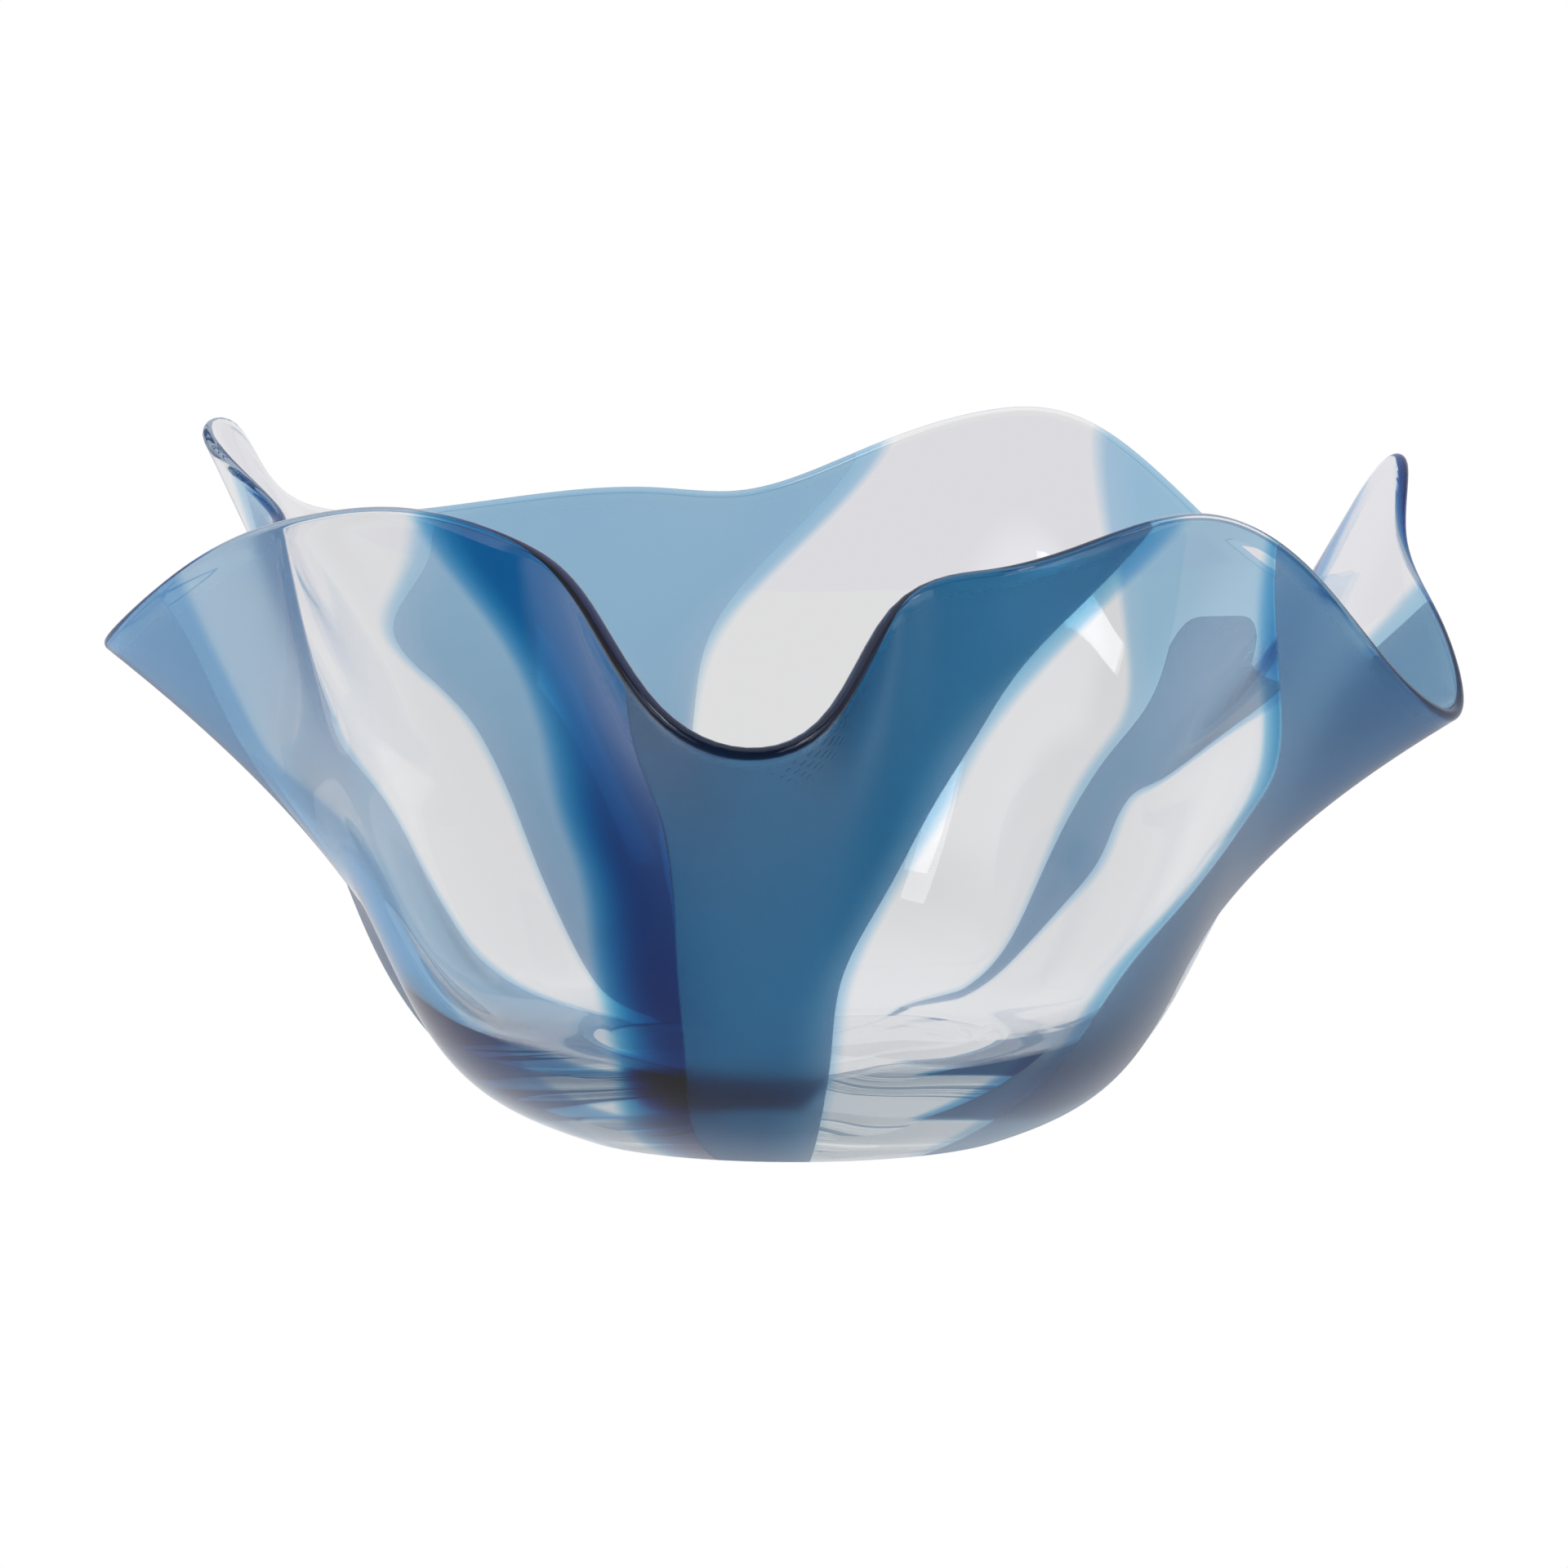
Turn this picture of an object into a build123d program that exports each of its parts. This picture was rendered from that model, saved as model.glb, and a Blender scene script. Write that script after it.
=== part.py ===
"""Ruffled art glass bowl: a thick clear body with five blue stripes and five opal overlays.

Millimetres, +Z up, origin at the centre of the flat resting face.
The wall follows one Bezier curve per rim station, from the base ring up to the wavy rim.
Stripes are laid into the outside of the wall, and each opal overlay is laid into its stripe.
"""
from build123d import *
from math import cos, hypot, radians, sin
import os

os.makedirs("parts", exist_ok=True)

# ---- driving dimensions -------------------------------------------------------------------
BASE_RADIUS = 62.0          # flat resting face
BELLY_PULL = (123.0, 21.0)  # Bezier handle leaving the base: radius, height
WALL_THICKNESS = 4.4        # at the rim
FLOOR_EXTRA = 16.6          # added to the wall thickness at the centre of the floor
FLOOR_FADE = 4              # how quickly the thick floor thins into the wall
STRIPE_DEPTH = 2.2          # blue glass laid into the outside of the wall
OPAL_DEPTH = 0.6            # opal overlay laid into the blue glass
TUCK_UNDER = 4.0            # how far the stripes wrap onto the resting face
CUTTER_REACH = 260.0        # stripe cutters run out past the rim to this radius
CUTTER_BOTTOM = -10.0       # and from here, below the table,
CUTTER_TOP = 220.0          # to here, above the rim
CORE_TOP = 260.0            # the cores under the stripes run up to here
RINGS_PER_WALL = 10         # rings that shape the wall between base and rim

# One row per rim station: azimuth (degrees from +X), radius, height.
# Lobes are low and far out; folds are high and pulled in.
RIM = [
    (-94, 181, 124),   # front lobe
    (-86, 169, 134),
    (-79, 145, 158),
    (-69, 145, 168),
    (-56, 145, 174.5),
    (-43, 152, 180),   # front right fold
    (-31, 162, 164),
    (-18, 175, 130),
    (-8, 186, 119),    # right lobe
    (2, 181, 141),
    (12, 177, 164),
    (20, 186, 182),    # right ear
    (28, 185, 164),
    (36, 188, 140),    # back right lobe
    (57, 165, 184.5),
    (68, 155, 189.5),  # back fold
    (81, 151, 178.5),
    (96, 156, 164.5),
    (105, 159, 165.5),
    (125, 173, 161),
    (138, 187, 161),   # back left lobe
    (146, 189, 175),
    (151, 189, 190),   # left ear
    (155, 187, 187),
    (158.5, 172, 178),
    (162, 158, 170),
    (171, 157, 160),
    (188, 192, 138),   # left lobe
    (200, 176, 162),
    (214, 157, 178.5),
    (228, 149, 181.5),  # front left fold
    (240, 146, 174),
    (249, 159, 161),
    (257, 176, 137),
]

# Stripe edges: azimuths at these heights above the table, right-hand edge row then left-hand.
EDGE_HEIGHTS = (0, 30, 60, 90, 105, 125, 145, 180)
BLUE_EDGES = {
    "front": ((233, 243, 244, 244, 242, 241, 238, 225), (276, 277, 278, 284, 288, 292, 299, 317)),
    "right": ((-62, -54, -48, -31, -28, -31, -35, -37), (-6, -2, 2, 6, 9, 9, 7, 8)),
    "back_right": ((56, 49, 38, 35, 16, 18, 22, 25), (64, 57, 54, 51, 48, 51, 54, 58)),
    "back_left": ((108, 105, 103, 102, 101, 98, 91, 77), (132, 130, 131, 132, 134, 141, 133, 129)),
    "left": ((139, 147, 151, 154, 158, 156, 156, 158), (227, 224, 218, 211, 198, 198, 199, 201)),
}
OPAL_EDGES = {
    "front": ((250, 254, 255, 256, 256, 254, 255, 255), (274, 275, 276, 282, 285, 290, 295, 313)),
    "right": ((-56, -50, -44, -27, -24, -28, -32, -36), (-9, -5, -1, 3, 6, 6, 4, 4)),
    "back_right": ((58, 51, 41, 37, 19, 21, 26, 28), (61, 55, 52, 48, 45, 46, 48, 50)),
    "back_left": ((111, 107, 105, 103, 102, 100, 94, 80), (130, 128, 129, 130, 132, 139, 130, 127)),
    "left": ((144, 150, 153, 156, 162, 158, 158, 160), (205, 198, 191, 190, 192, 195, 197, 196)),
}
# Height at which an overlay ends below the rim; the others run over it.
OPAL_TOPS = {"back_right": 131}


# ---- wall curve ---------------------------------------------------------------------------
def polar(radius, azimuth, height):
    """Point at a radius, azimuth in degrees and height."""
    angle = radians(azimuth)
    return Vector(radius * cos(angle), radius * sin(angle), height)


def wall_handles(rim_radius, rim_height):
    """Bezier poles (radius, height) of one wall curve; lobes flare later than folds."""
    flare = rim_radius - 165.0
    lift = rim_height - 155.0
    upper_pull = (114.0 - 0.97 * flare + 0.36 * lift, 52.0 - 0.26 * flare - 0.20 * lift)
    return ((BASE_RADIUS, 0.0), BELLY_PULL, upper_pull, (rim_radius, rim_height))


def wall_point(rim_radius, rim_height, level):
    """Radius and height on the outer wall curve."""
    p0, p1, p2, p3 = wall_handles(rim_radius, rim_height)
    weights = ((1 - level) ** 3, 3 * level * (1 - level) ** 2, 3 * level**2 * (1 - level), level**3)
    return [sum(w * p[axis] for w, p in zip(weights, (p0, p1, p2, p3))) for axis in (0, 1)]


def wall_slope(rim_radius, rim_height, level):
    """Unit direction (radius, height) in which the outer wall curve is climbing."""
    p0, p1, p2, p3 = wall_handles(rim_radius, rim_height)
    weights = (3 * (1 - level) ** 2, 6 * level * (1 - level), 3 * level**2)
    legs = zip(weights, (p0, p1, p2), (p1, p2, p3))
    legs = [(w * (b[0] - a[0]), w * (b[1] - a[1])) for w, a, b in legs]
    run = sum(leg[0] for leg in legs)
    rise = sum(leg[1] for leg in legs)
    return run / hypot(run, rise), rise / hypot(run, rise)


def thickness(level):
    """Glass thickness along the wall, thick at the floor."""
    return WALL_THICKNESS + FLOOR_EXTRA * (1 - level) ** FLOOR_FADE


# ---- rings --------------------------------------------------------------------------------
def turn(azimuth):
    """Position of an azimuth around a ring, from 0 to 1."""
    return ((azimuth - RIM[0][0]) % 360) / 360


def ring_through(points):
    """Closed smooth curve through one point per rim station."""
    stations = [turn(azimuth) for azimuth, _, _ in RIM] + [1.0]
    return Edge.make_spline(points, periodic=True, parameters=stations)


def outer_ring(level):
    """Ring on the outer face of the wall."""
    points = []
    for azimuth, radius, height in RIM:
        r, z = wall_point(radius, height, level)
        points.append(polar(r, azimuth, z))
    return ring_through(points)


def inward_and_upward(level):
    """Per station: unit vector into the glass, and unit vector up the wall."""
    ring = outer_ring(level)
    directions = []
    for azimuth, radius, height in RIM:
        along = ring.tangent_at(turn(azimuth), position_mode=PositionMode.PARAMETER)
        if level == 0:
            along = polar(1, azimuth + 90, 0)  # the base ring is a true circle
        run, rise = wall_slope(radius, height, level)
        climb = polar(run, azimuth, rise)
        inward = climb.cross(along).normalized()
        directions.append((inward, along.cross(inward).normalized()))
    return directions


def offset_ring(level, depth, lift=0.0):
    """Ring moved into the glass by a depth, and up the wall by a lift."""
    points = []
    for (azimuth, radius, height), (inward, upward) in zip(RIM, inward_and_upward(level)):
        r, z = wall_point(radius, height, level)
        points.append(polar(r, azimuth, z) + inward * depth + upward * lift)
    return ring_through(points)


def wall_through(rings, ruled=False):
    """Faces of a smooth (or straight ruled) wall through closed rings."""
    return Shell.make_loft([Wire([ring]) for ring in rings], ruled=ruled).faces()


def flat_disc(ring):
    """Flat face filling a level ring."""
    return Face(Wire([ring]))


# ---- bowl and the cores that set the stripe depths -----------------------------------------
LEVELS = [step / RINGS_PER_WALL for step in range(RINGS_PER_WALL + 1)]


def bowl_solid():
    """Outer wall, rounded rim and inner wall, closed by the base and the cavity floor."""
    rim_radius = thickness(1.0) / 2
    outer = [outer_ring(level) for level in LEVELS]
    lip = [outer[-1]]
    for angle in (45, 90, 135):
        depth = rim_radius * (1 - cos(radians(angle)))
        lip.append(offset_ring(1.0, depth, rim_radius * sin(radians(angle))))
    inner = [offset_ring(level, thickness(level)) for level in reversed(LEVELS)]
    lip.append(inner[0])
    faces = wall_through(outer) + wall_through(lip) + wall_through(inner)
    return Solid(Shell(faces + [flat_disc(outer[0]), flat_disc(inner[-1])]))


def core_solid(depth):
    """Everything deeper than a depth below the outer face, run out past the rim."""
    rings = [offset_ring(level, depth) for level in LEVELS]
    past_rim = offset_ring(1.0, depth, 3 * WALL_THICKNESS)
    top = ring_through([polar(radius, azimuth, CORE_TOP) for azimuth, radius, _ in RIM])
    faces = wall_through(rings) + wall_through([rings[-1], past_rim, top], ruled=True)
    return Solid(Shell(faces + [flat_disc(rings[0]), flat_disc(top)]))


# ---- stripe cutters ------------------------------------------------------------------------
def stripe_wedge(edges, core, top=CUTTER_TOP):
    """Wedge around the axis that follows the stripe edges, kept only outside the core."""
    heights = (CUTTER_BOTTOM,) + EDGE_HEIGHTS + (CUTTER_TOP,)
    starts, ends = [(row[0],) + row + (row[-1],) for row in edges]
    with BuildPart() as wedge:
        for height, start, end in zip(heights, starts, ends):
            with BuildSketch(Plane.XY.offset(height)):
                with BuildLine():
                    Line((0, 0), polar(CUTTER_REACH, start, 0))
                    ThreePointArc(
                        polar(CUTTER_REACH, start, 0),
                        polar(CUTTER_REACH, (start + end) / 2, 0),
                        polar(CUTTER_REACH, end, 0),
                    )
                    Line(polar(CUTTER_REACH, end, 0), (0, 0))
                make_face()
        loft(ruled=True)
        if top < CUTTER_TOP:
            split(bisect_by=Plane.XY.offset(top), keep=Keep.BOTTOM)
        add(core, mode=Mode.SUBTRACT)
        Cylinder(BASE_RADIUS - TUCK_UNDER, 60, mode=Mode.SUBTRACT)
    return wedge.part


# ---- pieces --------------------------------------------------------------------------------
whole_bowl = bowl_solid()
under_stripe = core_solid(STRIPE_DEPTH)
under_opal = core_solid(OPAL_DEPTH)
stripe_cutters = {name: stripe_wedge(edges, under_stripe) for name, edges in BLUE_EDGES.items()}
opal_cutters = {
    name: stripe_wedge(edges, under_opal, OPAL_TOPS.get(name, CUTTER_TOP))
    for name, edges in OPAL_EDGES.items()
}

# Clear body: thick floor, wall and rounded rim, with shallow beds for the stripes.
with BuildPart() as clear_bowl:
    add(whole_bowl)
    for cutter in stripe_cutters.values():
        add(cutter, mode=Mode.SUBTRACT)
clear_bowl.part.label = "clear_bowl"
export_step(clear_bowl.part, "parts/clear_bowl.step")

# Blue stripes: flush with the outside of the wall, each with a bed for its opal overlay.
for name in BLUE_EDGES:
    with BuildPart() as blue_stripe:
        add(whole_bowl)
        add(stripe_cutters[name], mode=Mode.INTERSECT)
        add(opal_cutters[name], mode=Mode.SUBTRACT)
    blue_stripe.part.label = f"blue_stripe_{name}"
    export_step(blue_stripe.part, f"parts/blue_stripe_{name}.step")

# Opal overlays: thin matt layers along the middle of each stripe.
for name in OPAL_EDGES:
    with BuildPart() as opal_overlay:
        add(whole_bowl)
        add(opal_cutters[name], mode=Mode.INTERSECT)
    opal_overlay.part.label = f"opal_overlay_{name}"
    export_step(opal_overlay.part, f"parts/opal_overlay_{name}.step")
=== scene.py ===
"""Ruffled art glass bowl with blue stripes, on a pale studio floor.

Metres, +Z up, the viewer looks along +Y. The bowl is one smooth formula surface:
a Bezier curve up the wall at every azimuth, swept round through the rim stations.
The clear body is a closed glass mesh. Every stripe and overlay is a closed thin layer
just under its outer skin, and stains the light that passes through.
"""

from math import cos, pi, radians, sin

import bpy
import numpy as np
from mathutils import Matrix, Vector


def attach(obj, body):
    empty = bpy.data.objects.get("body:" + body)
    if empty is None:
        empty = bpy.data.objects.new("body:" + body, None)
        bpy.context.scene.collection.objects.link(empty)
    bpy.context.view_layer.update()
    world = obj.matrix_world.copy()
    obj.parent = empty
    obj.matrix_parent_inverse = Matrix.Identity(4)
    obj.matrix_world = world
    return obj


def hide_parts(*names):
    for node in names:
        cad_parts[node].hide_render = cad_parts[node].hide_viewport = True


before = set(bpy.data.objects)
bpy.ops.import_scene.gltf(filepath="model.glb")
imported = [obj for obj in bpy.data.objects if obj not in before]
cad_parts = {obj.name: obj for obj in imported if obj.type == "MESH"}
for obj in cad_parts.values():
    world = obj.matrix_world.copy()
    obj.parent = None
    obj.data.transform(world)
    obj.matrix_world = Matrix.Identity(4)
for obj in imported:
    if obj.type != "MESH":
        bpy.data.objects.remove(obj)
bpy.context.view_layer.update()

# ---- dimensions of the bowl (millimetres, turned into metres when a mesh is made) ----------
MM = 0.001
BASE_RADIUS = 62.0
BELLY_PULL = (123.0, 21.0)   # Bezier handle leaving the base: radius, height
WALL_THICKNESS = 4.4
FLOOR_EXTRA = 16.6
FLOOR_FADE = 4
FLOOR_FILLET = 9.0
STRIPE_DEPTH = 2.2
OPAL_DEPTH = 0.6
SKIN_INSET = 0.05            # the visible skin lies just inside the CAD skin
RIM_INSET = 0.2              # and a little further inside towards the rim

# Rim stations: azimuth (degrees from +X), radius, height.
RIM = np.array([
    (-94, 181, 124), (-86, 169, 134), (-79, 145, 158),            # front lobe
    (-69, 145, 168), (-56, 145, 174.5),
    (-43, 152, 180), (-31, 162, 164), (-18, 175, 130),            # front right fold
    (-8, 186, 119), (2, 181, 141), (12, 177, 164),                # right lobe
    (20, 186, 182), (28, 185, 164),                               # right ear
    (36, 188, 140),                                               # back right lobe
    (57, 165, 184.5), (68, 155, 189.5), (81, 151, 178.5),         # back fold
    (96, 156, 164.5), (105, 159, 165.5), (125, 173, 161), (138, 187, 161),
    (146, 189, 175), (151, 189, 190), (155, 187, 187),            # left ear
    (158.5, 172, 178), (162, 158, 170), (171, 157, 160),
    (188, 192, 138), (200, 176, 162),                             # left lobe
    (214, 157, 178.5), (228, 149, 181.5), (240, 146, 174),        # front left fold
    (249, 159, 161), (257, 176, 137),
], float)

# Stripe edges: azimuths at these heights, right-hand edge row then left-hand edge row.
EDGE_HEIGHTS = (0, 30, 60, 90, 105, 125, 145, 180)
BLUE_EDGES = {
    "front": ((233, 243, 244, 244, 242, 241, 238, 225), (276, 277, 278, 284, 288, 292, 299, 317)),
    "right": ((-62, -54, -48, -31, -28, -31, -35, -37), (-6, -2, 2, 6, 9, 9, 7, 8)),
    "back_right": ((56, 49, 38, 35, 16, 18, 22, 25), (64, 57, 54, 51, 48, 51, 54, 58)),
    "back_left": ((108, 105, 103, 102, 101, 98, 91, 77), (132, 130, 131, 132, 134, 141, 133, 129)),
    "left": ((139, 147, 151, 154, 158, 156, 156, 158), (227, 224, 218, 211, 198, 198, 199, 201)),
}
OPAL_EDGES = {
    "front": ((250, 254, 255, 256, 256, 254, 255, 255), (274, 275, 276, 282, 285, 290, 295, 313)),
    "right": ((-56, -50, -44, -27, -24, -28, -32, -36), (-9, -5, -1, 3, 6, 6, 4, 4)),
    "back_right": ((58, 51, 41, 37, 19, 21, 26, 28), (61, 55, 52, 48, 45, 46, 48, 50)),
    "back_left": ((111, 107, 105, 103, 102, 100, 94, 80), (130, 128, 129, 130, 132, 139, 130, 127)),
    "left": ((144, 150, 153, 156, 162, 158, 158, 160), (205, 198, 191, 190, 192, 195, 197, 196)),
}
ROUND_THE_BOWL = ("right", "back_right", "back_left", "left", "front")
# An overlay that ends below the rim: height at its right-hand side and at its left-hand side.
OPAL_TOPS = {"back_right": (118, 131)}

# ---- mesh fineness --------------------------------------------------------------------------
EDGE_LEVELS = np.linspace(0.0, 1.0, 121)
EDGE_SOFTENING = 13          # levels over which a sudden step in an edge is spread
COLUMN_STEP = 0.5            # degrees between mesh columns
EDGE_GAP = 0.12              # degrees from an overlay edge to the mesh column on either side
RIM_WRAP = 1.46              # level at which the layers end, near the crest of the rim
LAYER_ROWS = 140

# ---- look ----------------------------------------------------------------------------------
GLASS_IOR = 1.5
FROST_ROUGHNESS = 0.32
PALE_BLUE = (0.52, 0.73, 0.90)
DEEP_BLUE = (0.02, 0.29, 0.53)
OPAL_TINT = (0.62, 0.65, 0.72)
OPAL_VEIL = (0.30, 0.55, 0.80)
VEIL_SHARE = 0.08
PANEL_GLOW = 0.82
HALO_WIDTH = 6.0             # width over which a blue edge fades in
POOL_WIDTH = 20.0            # width over which a pool of deep colour fades in
LONG_PATH = 9                # bounces inside the glass after which the glass shows a painted soft glow in place of the light
LONG_PATH_PAINTED_GLOW = (0.42, 0.48, 0.58)
# How deeply the blue pools beside the overlay and under it: (near the base, near the rim).
POOLS = {
    "front": {"right_hand": (2.4, 0.9), "left_hand": (0.1, 0.3), "under": (0.62, 0.46)},
    "right": {"right_hand": (0.5, 0.9), "left_hand": (0.1, 0.1), "under": (0.1, 0.1)},
    "back_right": {"right_hand": (0.1, 0.1), "left_hand": (0.1, 0.05), "under": (0.08, 0.02)},
    "back_left": {"right_hand": (0.1, 0.1), "left_hand": (0.1, 0.1), "under": (0.05, 0.05)},
    "left": {"right_hand": (0.1, 0.0), "left_hand": (0.15, 0.0), "under": (0.05, 0.0)},
}
# How strong each overlay is: (near the base, near the rim).
OVERLAY_STRENGTH = {
    "front": (1.4, 1.4),
    "right": (1.0, 1.0),
    "back_right": (1.0, 0.9),
    "back_left": (1.0, 0.25),
    "left": (0.6, 0.2),
}


# ---- the wall surface ----------------------------------------------------------------------
def wall_poles():
    """Cartesian Bezier poles of the wall at every rim station."""
    flare = RIM[:, 1] - 165.0
    lift = RIM[:, 2] - 155.0
    ones = np.ones(len(RIM))
    radii = (BASE_RADIUS * ones, BELLY_PULL[0] * ones, 114.0 - 0.97 * flare + 0.36 * lift, RIM[:, 1])
    heights = (0 * ones, BELLY_PULL[1] * ones, 52.0 - 0.26 * flare - 0.20 * lift, RIM[:, 2])
    angle = np.radians(RIM[:, 0])
    return [np.stack([r * np.cos(angle), r * np.sin(angle), z], -1) for r, z in zip(radii, heights)]


def closed_spline(values):
    """Closed cubic spline through one value per rim station: knots, steps, values and bends."""
    knots = np.append(RIM[:, 0], RIM[0, 0] + 360.0)
    knots = np.where(knots < RIM[0, 0], knots + 360.0, knots)
    steps = np.diff(knots)
    count = len(steps)
    matrix = np.zeros((count, count))
    right = np.zeros((count, values.shape[1]))
    for i in range(count):
        before, after = steps[i - 1], steps[i]
        matrix[i, i - 1] += before
        matrix[i, i] += 2 * (before + after)
        matrix[i, (i + 1) % count] += after
        slope_after = (values[(i + 1) % count] - values[i]) / after
        slope_before = (values[i] - values[i - 1]) / before
        right[i] = 6 * (slope_after - slope_before)
    return knots, steps, values, np.linalg.solve(matrix, right)


SPLINES = [closed_spline(pole) for pole in wall_poles()]


def sample_spline(spline, azimuth):
    """Value and derivative (per degree) of a closed spline at any azimuths."""
    knots, steps, values, bend = spline
    at = (np.asarray(azimuth, float) - knots[0]) % 360.0 + knots[0]
    i = np.clip(np.searchsorted(knots, at, side="right") - 1, 0, len(steps) - 1)
    j = (i + 1) % len(steps)
    h = steps[i][..., None]
    a = (knots[i + 1] - at)[..., None]
    b = (at - knots[i])[..., None]
    value = (bend[i] * a**3 + bend[j] * b**3) / (6 * h)
    value += (values[i] / h - bend[i] * h / 6) * a + (values[j] / h - bend[j] * h / 6) * b
    change = (-bend[i] * a**2 + bend[j] * b**2) / (2 * h)
    change += (values[j] - values[i]) / h - (bend[j] - bend[i]) * h / 6
    return value, change


def unit(vectors):
    """Vectors scaled to length one."""
    return vectors / np.linalg.norm(vectors, axis=-1, keepdims=True)


def wall_frame(azimuth, level):
    """Outer wall point with the unit directions into the glass and up the wall."""
    azimuth, level = np.broadcast_arrays(azimuth, level)
    level = np.clip(level, 0.0, 1.0)[..., None]
    weights = ((1 - level) ** 3, 3 * level * (1 - level) ** 2, 3 * level**2 * (1 - level), level**3)
    rates = (3 * (1 - level) ** 2, 6 * level * (1 - level), 3 * level**2)
    samples = [sample_spline(spline, azimuth) for spline in SPLINES]
    point = sum(w * value for w, (value, _) in zip(weights, samples))
    along = sum(w * change for w, (_, change) in zip(weights, samples))
    climb = sum(r * (samples[k + 1][0] - samples[k][0]) for k, r in enumerate(rates))
    inward = unit(np.cross(climb, along))
    upward = unit(np.cross(along, inward))
    return point, inward, upward


def wall_height(azimuth, level):
    return wall_frame(azimuth, level)[0][..., 2]


def thickness(level):
    """Glass thickness along the wall, thick at the floor."""
    return WALL_THICKNESS + FLOOR_EXTRA * (1 - np.clip(level, 0.0, 1.0)) ** FLOOR_FADE


def skin_point(azimuth, level, depth):
    """Point at a depth below the visible skin. Level 0..1 climbs the wall, 1..2 rounds the rim,
    and below 0 runs under the base, 100 mm per unit."""
    azimuth, level, depth = np.broadcast_arrays(azimuth, level, depth)
    depth = depth + SKIN_INSET + RIM_INSET * np.clip(level, 0.0, 1.0)
    point, inward, upward = wall_frame(azimuth, level)
    wall = point + inward * depth[..., None]
    half = WALL_THICKNESS / 2
    turn = np.clip(level - 1.0, 0.0, 1.0)[..., None] * pi
    reach = (half - depth)[..., None]
    lip = point + inward * half + reach * (upward * np.sin(turn) - inward * np.cos(turn))
    radius = BASE_RADIUS + np.minimum(level, 0.0) * 100.0
    angle = np.radians(azimuth)
    under = np.stack([radius * np.cos(angle), radius * np.sin(angle), depth], -1)
    above_base = np.where(level[..., None] > 1.0, lip, wall)
    return np.where(level[..., None] < 0.0, under, above_base)


# ---- stripe edges on the wall --------------------------------------------------------------
def edge_curve(row, height):
    """Azimuth of a stripe edge at any height: a smooth curve through its table row."""
    at = np.array(EDGE_HEIGHTS, float)
    row = np.array(row, float)
    tilt = np.gradient(row, at)
    i = np.clip(np.searchsorted(at, height) - 1, 0, len(at) - 2)
    step = at[i + 1] - at[i]
    t = np.clip((height - at[i]) / step, 0.0, 1.0)
    ends = row[i] * (1 + 2 * t) * (1 - t) ** 2 + row[i + 1] * t**2 * (3 - 2 * t)
    return ends + step * (tilt[i] * t * (1 - t) ** 2 - tilt[i + 1] * t**2 * (1 - t))


def edge_on_wall(row):
    """Azimuth of a stripe edge at each of the edge levels, followed upwards from the base."""
    found = []
    last = float(row[0])
    for level in EDGE_LEVELS:
        trial = last + np.arange(-30.0, 30.01, 0.25)
        gap = trial - edge_curve(row, wall_height(trial, level))
        crossing = np.where(np.sign(gap[1:]) != np.sign(gap[:-1]))[0]
        nearest = crossing[np.argmin(np.abs(trial[crossing] - last))]
        last = trial[nearest] + 0.25 * gap[nearest] / (gap[nearest] - gap[nearest + 1])
        found.append(last)
    window = np.hanning(EDGE_SOFTENING + 2)[1:-1]
    padded = np.pad(found, EDGE_SOFTENING // 2, mode="edge")
    return np.convolve(padded, window / window.sum(), mode="valid")


BLUE_ON_WALL = {name: [edge_on_wall(row) for row in rows] for name, rows in BLUE_EDGES.items()}
OPAL_ON_WALL = {name: [edge_on_wall(row) for row in rows] for name, rows in OPAL_EDGES.items()}


def edge_at(edge, level):
    """Azimuth of an edge at any levels."""
    return np.interp(np.clip(level, 0.0, 1.0), EDGE_LEVELS, edge)


def smooth(values):
    """Smooth step from 0 to 1."""
    values = np.clip(values, 0.0, 1.0)
    return values * values * (3 - 2 * values)


def overlay_top(name, share):
    """Height at which an overlay ends, at a share of the way across, with a rounded left corner."""
    low, high = OPAL_TOPS[name]
    corner = np.clip((share - 0.85) / 0.15, 0.0, 1.0)
    return low + (high - low) * smooth((share - 0.45) / 0.25) - 8.0 * corner**3


# ---- mesh helpers --------------------------------------------------------------------------
def make_object(name, points, faces, material):
    """Smooth-shaded object from points in millimetres."""
    mesh = bpy.data.meshes.new(name)
    mesh.from_pydata((np.asarray(points) * MM).tolist(), [], faces)
    mesh.polygons.foreach_set("use_smooth", [True] * len(mesh.polygons))
    mesh.materials.append(material)
    mesh.update()
    piece = bpy.data.objects.new(name, mesh)
    bpy.context.scene.collection.objects.link(piece)
    return piece


def ring_faces(rows, columns):
    """Quads between the rows of a point grid whose last column joins its first."""
    faces = []
    for i in range(rows - 1):
        for j in range(columns):
            k = (j + 1) % columns
            a, b = i * columns, (i + 1) * columns
            faces.append((a + j, a + k, b + k, b + j))
    return faces


def point_attribute(piece, name, values):
    """Float attribute on the mesh points, read by the glass materials."""
    layer = piece.data.attributes.new(name, "FLOAT", "POINT")
    layer.data.foreach_set("value", np.asarray(values, np.float32).ravel())


# ---- materials -----------------------------------------------------------------------------
def new_material(name):
    material = bpy.data.materials.new(name)
    material.use_nodes = True
    tree = material.node_tree
    tree.nodes.clear()
    output = tree.nodes.new("ShaderNodeOutputMaterial")
    return material, tree, output


def add_node(tree, kind, inputs=None, **settings):
    """Adds a node; inputs maps a socket name or index to a value or to another node's socket."""
    node = tree.nodes.new(kind)
    for key, value in settings.items():
        setattr(node, key, value)
    for key, value in (inputs or {}).items():
        if isinstance(value, bpy.types.NodeSocket):
            tree.links.new(value, node.inputs[key])
        else:
            node.inputs[key].default_value = value
    return node


def math_node(tree, operation, first, second=0.0, third=0.0):
    return add_node(tree, "ShaderNodeMath", {0: first, 1: second, 2: third}, operation=operation).outputs[0]


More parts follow.
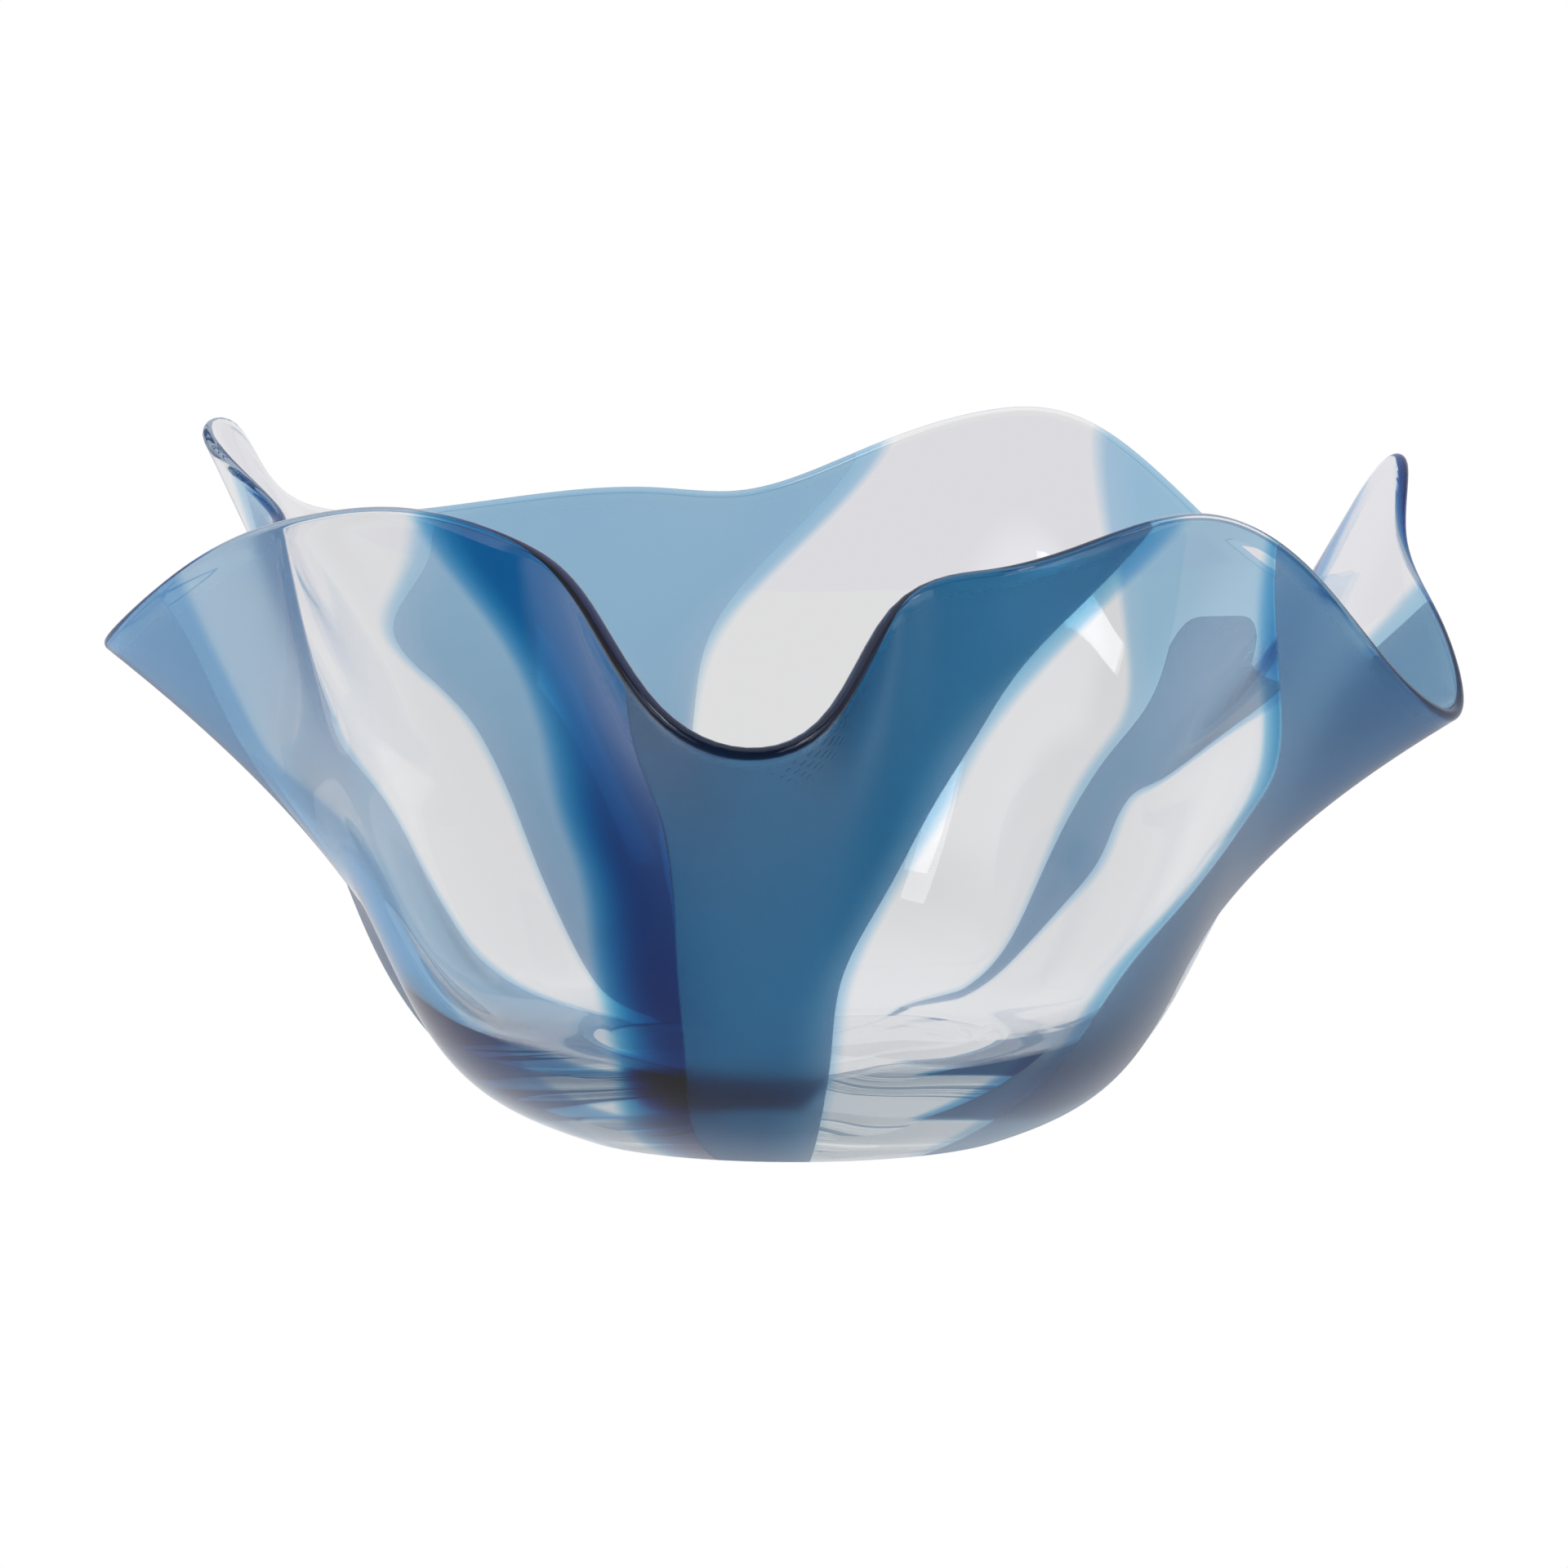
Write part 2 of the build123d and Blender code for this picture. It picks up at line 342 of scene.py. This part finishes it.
def attribute(tree, name):
    return add_node(tree, "ShaderNodeAttribute", attribute_name=name).outputs["Fac"]


def object_noise(tree, scale, detail=2.0):
    place = add_node(tree, "ShaderNodeTexCoord").outputs["Object"]
    inputs = {"Vector": place, "Scale": scale, "Detail": detail}
    return add_node(tree, "ShaderNodeTexNoise", inputs).outputs[0]


def product_of_colors(tree, first, second):
    inputs = {"Factor": 1.0, 6: first, 7: second}
    return add_node(tree, "ShaderNodeMix", inputs, data_type="RGBA", blend_type="MULTIPLY").outputs[2]


def stained(tree, color, amount):
    """Colour of light after passing an amount of stained glass (1 = full depth)."""
    return add_node(tree, "ShaderNodeGamma", {"Color": (*color, 1), "Gamma": amount}).outputs[0]


def clear_glass_material():
    """Clear glass, satin only where an opal overlay lies against the outer skin; after many bounces inside
    it, it shows a painted glow in place of the light.
    """
    material, tree, output = new_material("clear_glass")
    ripple = add_node(tree, "ShaderNodeBump", {
        "Strength": 0.25, "Distance": 0.0004, "Height": object_noise(tree, 22.0, 1.0)})
    roughness = math_node(tree, "MULTIPLY", attribute(tree, "frost"), FROST_ROUGHNESS)
    glass = add_node(tree, "ShaderNodeBsdfGlass", {
        "Color": (0.985, 0.985, 0.99, 1), "IOR": GLASS_IOR,
        "Roughness": roughness, "Normal": ripple.outputs[0]})
    tint = add_node(tree, "ShaderNodeVolumeAbsorption", {
        "Color": (0.74, 0.80, 0.80, 1), "Density": 8.0})
    depth = add_node(tree, "ShaderNodeLightPath").outputs["Ray Depth"]
    long_path = math_node(tree, "GREATER_THAN", depth, LONG_PATH)
    # painted glow: a fixed emission stands in for the light on long paths inside the glass
    glow = add_node(tree, "ShaderNodeEmission", {"Color": (*LONG_PATH_PAINTED_GLOW, 1)})
    surface = add_node(tree, "ShaderNodeMixShader", {0: long_path, 1: glass.outputs[0], 2: glow.outputs[0]})
    tree.links.new(surface.outputs[0], output.inputs["Surface"])
    tree.links.new(tint.outputs[0], output.inputs["Volume"])
    return material


def blue_glass_material():
    """Transparent blue: a pale edge, and a deep pool where the colour is thick."""
    material, tree, output = new_material("blue_glass")
    streak = math_node(tree, "MULTIPLY_ADD", object_noise(tree, 30.0), 0.16, 0.92)
    half_streak = math_node(tree, "MULTIPLY", streak, 0.5)  # a ray crosses both faces
    fade = math_node(tree, "MULTIPLY", attribute(tree, "fade"), half_streak)
    pool = math_node(tree, "MULTIPLY", attribute(tree, "pool"), half_streak)
    color = product_of_colors(tree, stained(tree, PALE_BLUE, fade), stained(tree, DEEP_BLUE, pool))
    film = add_node(tree, "ShaderNodeBsdfTransparent", {"Color": color})
    tree.links.new(film.outputs[0], output.inputs["Surface"])
    return material


def opal_glass_material():
    """Satin grey-blue layer: tints what is behind it and glows a little with scattered light."""
    material, tree, output = new_material("opal_glass")
    cloud = math_node(tree, "MULTIPLY_ADD", object_noise(tree, 14.0), 0.2, 0.9)
    strength = math_node(tree, "MULTIPLY", cloud, attribute(tree, "strength"))
    half = math_node(tree, "MULTIPLY", strength, 0.5)  # a ray crosses both faces
    share = math_node(tree, "MULTIPLY", strength, VEIL_SHARE)
    film = add_node(tree, "ShaderNodeBsdfTransparent", {"Color": stained(tree, OPAL_TINT, half)})
    veil = add_node(tree, "ShaderNodeBsdfTranslucent", {"Color": (*OPAL_VEIL, 1)})
    mixed = add_node(tree, "ShaderNodeMixShader", {0: share, 1: film.outputs[0], 2: veil.outputs[0]})
    tree.links.new(mixed.outputs[0], output.inputs["Surface"])
    return material


# ---- clear body ----------------------------------------------------------------------------
def body_columns(level):
    """Azimuths of one ring of the body and its frost; columns follow the overlay edges."""
    edges = [edge for name in ROUND_THE_BOWL for edge in OPAL_ON_WALL[name]]
    middle = [edge[len(edge) // 2] for edge in edges]
    here = [edge_at(edge, level) for edge in edges]
    middle.append(middle[0] + 360.0)
    here.append(here[0] + 360.0)
    azimuths, frosts = [], []
    for k in range(len(edges)):
        count = int((middle[k + 1] - middle[k]) / COLUMN_STEP)
        share = np.linspace(0.0, 1.0, count)
        azimuth = here[k] + EDGE_GAP + (here[k + 1] - here[k] - 2 * EDGE_GAP) * share
        name = ROUND_THE_BOWL[k // 2]
        frost = np.full(count, 1.0 if k % 2 == 0 else 0.0)
        if name in OPAL_TOPS and k % 2 == 0:
            frost = np.clip(overlay_top(name, share) - wall_height(azimuth, level), 0.0, 1.0)
        azimuths.append(azimuth)
        frosts.append(frost)
    return np.concatenate(azimuths), np.concatenate(frosts)


def floor_rings(azimuth):
    """Rings of the cavity floor, from the inner wall's foot towards the centre."""
    point, inward, _ = wall_frame(azimuth, 0.0)
    foot = point + inward * thickness(0.0)
    foot_radius = np.hypot(foot[0, 0], foot[0, 1])
    slope = BELLY_PULL[1] / (BELLY_PULL[0] - BASE_RADIUS)
    angle = np.radians(azimuth)
    rings = []
    for run in (1.5, 3.0, 4.5, 6.0, 7.5, FLOOR_FILLET, 15.0, 30.0, 45.0):
        eased = min(run, FLOOR_FILLET) / FLOOR_FILLET
        drop = slope * FLOOR_FILLET * (eased - eased**2 / 2)
        radius = foot_radius - run
        height = np.full(len(azimuth), foot[0, 2] - drop)
        rings.append(np.stack([radius * np.cos(angle), radius * np.sin(angle), height], -1))
    return rings


def clear_body(material):
    rings, frosts = [], []
    under = (np.array([15, 35, 50, 57, 60, 61.3, 61.8]) - BASE_RADIUS) / 100
    outer = np.concatenate([[0.0, 0.003, 0.01, 0.02], np.linspace(0.03, 1.0, 120)])
    lip = np.linspace(1.0, 2.0, 13)[1:-1]
    for level in np.concatenate([under, outer, lip]):
        azimuth, frost = body_columns(level)
        rings.append(skin_point(azimuth, level, 0.0))
        frosts.append(frost * np.clip((1.0 - level) / 0.01, 0.0, 1.0))
    for level in np.linspace(1.0, 0.0, 90):
        azimuth, _ = body_columns(level)
        point, inward, _ = wall_frame(azimuth, level)
        rings.append(point + inward * (thickness(level) - SKIN_INSET - RIM_INSET * level))
    rings += floor_rings(azimuth)
    columns = len(azimuth)
    points = np.concatenate(rings)
    faces = ring_faces(len(rings), columns)
    bottom, top = len(points), len(points) + 1
    last = (len(rings) - 1) * columns
    for j in range(columns):
        k = (j + 1) % columns
        faces.append((bottom, k, j))
        faces.append((top, last + j, last + k))
    centres = [(0, 0, SKIN_INSET), (0, 0, rings[-1][0, 2])]
    piece = make_object("clear_bowl_glass", np.concatenate([points, centres]), faces, material)
    frost = np.zeros(len(points) + 2)
    outside = np.concatenate(frosts)
    frost[:len(outside)] = outside
    point_attribute(piece, "frost", frost)
    return piece


# ---- stripes and overlays ------------------------------------------------------------------
def layer_levels():
    """Wall levels from under the base to part way round the rim."""
    under = np.array([-0.03, -0.01])
    wall = np.linspace(0.0, 1.0, LAYER_ROWS)
    lip = np.linspace(1.0, RIM_WRAP, 7)[1:]
    return np.concatenate([under, wall, lip])


def columns_between(first, second):
    """Enough columns between two edges to follow the wall closely."""
    return int(max(6, np.max(second - first) * 1.4))


def closed_layer(name, azimuth, level, shallow, deep, material):
    """Closed thin layer between two depths below the skin."""
    outside = skin_point(azimuth, level, shallow)
    inside = skin_point(azimuth, level, deep)
    loop = np.concatenate([outside, inside[:, ::-1]], axis=1)
    rows, columns = loop.shape[:2]
    faces = ring_faces(rows, columns)
    last = (rows - 1) * columns
    for j in range(columns // 2 - 1):
        faces.append((j + 1, j, columns - 1 - j, columns - 2 - j))
        faces.append((last + j, last + j + 1, last + columns - 2 - j, last + columns - 1 - j))
    return make_object(name, loop.reshape(-1, 3), faces, material)


def across_distance(points):
    """Distance in millimetres from each grid point to the nearer side edge of its stripe."""
    steps = np.linalg.norm(np.diff(points, axis=1), axis=-1)
    run = np.concatenate([np.zeros((len(points), 1)), np.cumsum(steps, axis=1)], axis=1)
    return np.minimum(run, run[:, -1:] - run)


def both_faces(values):
    return np.concatenate([values, values[:, ::-1]], axis=1)


def by_height(pair, height):
    """Value that goes from the first to the second of a pair, base to rim."""
    return pair[0] + (pair[1] - pair[0]) * smooth((height - 20.0) / 140.0)


def blue_stripe(name, material):
    """Blue layer in three strips: right of its overlay, under it, and left of it."""
    levels = layer_levels()
    edges = [BLUE_ON_WALL[name][0], *OPAL_ON_WALL[name], BLUE_ON_WALL[name][1]]
    azimuth, pool = [], []
    for k, place in enumerate(("right_hand", "under", "left_hand")):
        count = columns_between(edges[k], edges[k + 1])
        share = np.linspace(0.0, 1.0, count)[None, :]
        start = edge_at(edges[k], levels)[:, None] + (EDGE_GAP if k > 0 else 0.0)
        end = edge_at(edges[k + 1], levels)[:, None] - (EDGE_GAP if k < 2 else 0.0)
        strip = start + (end - start) * share
        azimuth.append(strip)
        pool.append(by_height(POOLS[name][place], wall_height(strip, levels[:, None])))
    azimuth = np.concatenate(azimuth, axis=1)
    level = np.broadcast_to(levels[:, None], azimuth.shape)
    distance = across_distance(skin_point(azimuth, level, 0.0))
    fade = smooth(distance / HALO_WIDTH)
    pool = np.concatenate(pool, axis=1) * smooth(distance / POOL_WIDTH)
    shallow = OPAL_DEPTH + 0.05
    deep = shallow + 0.03 + (STRIPE_DEPTH - OPAL_DEPTH - 0.2) * fade
    piece = closed_layer(f"blue_stripe_{name}_glass", azimuth, level, shallow, deep, material)
    point_attribute(piece, "fade", both_faces(fade))
    point_attribute(piece, "pool", both_faces(pool))
    return piece


def overlay_grid(name):
    """Azimuths and levels of an overlay; one that ends below the rim has its own top curve."""
    start, end = OPAL_ON_WALL[name]
    share = np.linspace(0.0, 1.0, columns_between(start, end))[None, :]
    level = layer_levels()[:, None] * np.ones(share.shape)
    if name in OPAL_TOPS:
        columns = start[:, None] * (1 - share) + end[:, None] * share
        heights = wall_height(columns, EDGE_LEVELS[:, None])
        tops = overlay_top(name, share[0])
        highest = [np.interp(top, heights[:, j], EDGE_LEVELS) for j, top in enumerate(tops)]
        level = np.where(level < 0.0, level, np.minimum(level, 1.0) * np.array(highest))
        level = level[:2 + LAYER_ROWS]
    azimuth = edge_at(start, level) * (1 - share) + edge_at(end, level) * share
    return azimuth, level


def opal_overlay(name, material):
    azimuth, level = overlay_grid(name)
    height = wall_height(azimuth, level)
    piece = closed_layer(f"opal_overlay_{name}_glass", azimuth, level, 0.15, OPAL_DEPTH, material)
    point_attribute(piece, "strength", both_faces(by_height(OVERLAY_STRENGTH[name], height)))
    return piece


# ---- studio --------------------------------------------------------------------------------
def studio_world():
    """Bright panel behind the bowl from wherever it is seen, darker sides, soft boxes in front."""
    world = bpy.data.worlds.new("studio")
    bpy.context.scene.world = world
    world.use_nodes = True
    tree = world.node_tree
    tree.nodes.clear()
    output = tree.nodes.new("ShaderNodeOutputWorld")
    direction = add_node(tree, "ShaderNodeTexCoord").outputs["Generated"]
    seen = add_node(tree, "ShaderNodeVectorTransform", {0: direction},
                    vector_type="VECTOR", convert_from="WORLD", convert_to="CAMERA")
    axes = add_node(tree, "ShaderNodeSeparateXYZ", {0: seen.outputs[0]})
    side, up, ahead = axes.outputs[0], axes.outputs[1], axes.outputs[2]

    def ramp(value, low, high, start, end):
        inputs = {0: value, 1: low, 2: high, 3: start, 4: end}
        return add_node(tree, "ShaderNodeMapRange", inputs, interpolation_type="SMOOTHSTEP").outputs[0]

    around = ramp(ahead, 0.15, 0.78, 0.42, PANEL_GLOW)
    panel = math_node(tree, "MULTIPLY", around, ramp(ahead, -0.8, -0.2, 0.2, 1.0))
    overhead = ramp(up, 0.60, 0.85, 0.0, 0.9)
    aside = math_node(tree, "ABSOLUTE", side)
    beside = ramp(aside, 0.45, 0.55, 0.0, 1.0)
    behind = ramp(ahead, -0.2, -0.4, 0.0, 1.0)
    box = math_node(tree, "MULTIPLY", beside, behind)
    boxes = math_node(tree, "MULTIPLY", box, ramp(up, 0.55, 0.40, 0.0, 1.0))
    glow = math_node(tree, "ADD", math_node(tree, "MAXIMUM", panel, overhead), boxes)
    tinted = product_of_colors(tree, glow, (0.97, 0.965, 1.0, 1))
    camera_ray = add_node(tree, "ShaderNodeLightPath").outputs["Is Camera Ray"]
    white = (1, 1, 1, 1)
    final = add_node(tree, "ShaderNodeMix", {0: camera_ray, 6: tinted, 7: white}, data_type="RGBA")
    background = add_node(tree, "ShaderNodeBackground", {"Color": final.outputs[2], "Strength": 1.0})
    tree.links.new(background.outputs[0], output.inputs[0])


def studio_floor():
    """Plain pale floor disc just under the base, evenly white to the camera. It glows by itself, and in
    reflections and refractions its brightness is painted: it falls with the angle and has painted shade
    before the bowl.
    """
    material, tree, output = new_material("pale_floor")
    toward = add_node(tree, "ShaderNodeNewGeometry").outputs["Incoming"]
    steep = add_node(tree, "ShaderNodeSeparateXYZ", {0: toward}).outputs[2]
    # painted light: the floor's glow seen through the glass falls off with the angle of view
    fall_inputs = {0: steep, 1: 0.2, 2: 0.7, 3: PANEL_GLOW, 4: 0.92}
    painted_falloff = add_node(tree, "ShaderNodeMapRange", fall_inputs).outputs[0]
    place = add_node(tree, "ShaderNodeNewGeometry").outputs["Position"]
    seen = add_node(tree, "ShaderNodeVectorTransform", {0: place},
                    vector_type="POINT", convert_from="WORLD", convert_to="CAMERA")
    distance = add_node(tree, "ShaderNodeSeparateXYZ", {0: seen.outputs[0]}).outputs[2]
    near_inputs = {0: distance, 1: 2.35, 2: 2.6, 3: 0.12, 4: 1.0}  # painted shade: dimmer before the bowl
    near = add_node(tree, "ShaderNodeMapRange", near_inputs).outputs[0]
    painted_falloff = math_node(tree, "MULTIPLY", painted_falloff, near)
    camera_ray = add_node(tree, "ShaderNodeLightPath").outputs["Is Camera Ray"]
    strength = math_node(tree, "MAXIMUM", camera_ray, painted_falloff)
    glow = add_node(tree, "ShaderNodeEmission", {"Color": (1, 1, 1, 1), "Strength": strength})
    tree.links.new(glow.outputs[0], output.inputs["Surface"])
    rim = [(1600 * cos(a), 1600 * sin(a), -0.4) for a in np.radians(np.arange(0, 360, 5))]
    floor = make_object("floor", rim, [tuple(range(len(rim)))], material)


def studio_lights():
    """Two soft panels beside the viewer for the broad highlights."""
    for name, place, power in (("key", (-1.5, -1.8, 1.5), 6.0), ("fill", (1.7, -1.6, 1.2), 4.0)):
        data = bpy.data.lights.new(name, "AREA")
        data.shape = "RECTANGLE"
        data.size, data.size_y = 0.5, 1.1
        data.energy = power
        lamp = bpy.data.objects.new(name, data)
        lamp.location = place
        lamp.rotation_mode = "QUATERNION"
        lamp.rotation_quaternion = (Vector((0, 0, 0.1)) - Vector(place)).to_track_quat("-Z", "Y")
        bpy.context.scene.collection.objects.link(lamp)


def studio_camera():
    """Long lens, a little above the rim, looking along +Y."""
    data = bpy.data.cameras.new("camera")
    data.sensor_width = 36.0
    data.lens = 213.2
    data.clip_start, data.clip_end = 0.1, 20.0
    camera = bpy.data.objects.new("camera", data)
    target = Vector((-0.0027, 0.0, 0.0974))
    tilt = radians(6.6)
    back = Vector((0.0, -cos(tilt), sin(tilt)))
    camera.location = target + back * 2.6
    camera.rotation_mode = "QUATERNION"
    camera.rotation_quaternion = (-back).to_track_quat("-Z", "Y")
    bpy.context.scene.collection.objects.link(camera)
    bpy.context.scene.camera = camera


# ---- build ---------------------------------------------------------------------------------
clear_material = clear_glass_material()
blue_material = blue_glass_material()
opal_material = opal_glass_material()

body = clear_body(clear_material)
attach(body, "root")
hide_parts("clear_bowl")

for stripe in BLUE_EDGES:
    ribbon = blue_stripe(stripe, blue_material)
    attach(ribbon, "root")
    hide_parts(f"blue_stripe_{stripe}")
    film = opal_overlay(stripe, opal_material)
    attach(film, "root")
    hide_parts(f"opal_overlay_{stripe}")

studio_world()
studio_floor()
studio_lights()
studio_camera()

cycles = bpy.context.scene.cycles
cycles.max_bounces = 32
cycles.transmission_bounces = 32
cycles.glossy_bounces = 32
cycles.diffuse_bounces = 2
cycles.transparent_max_bounces = 64
cycles.use_denoising = True
bpy.context.scene.view_settings.view_transform = "Standard"
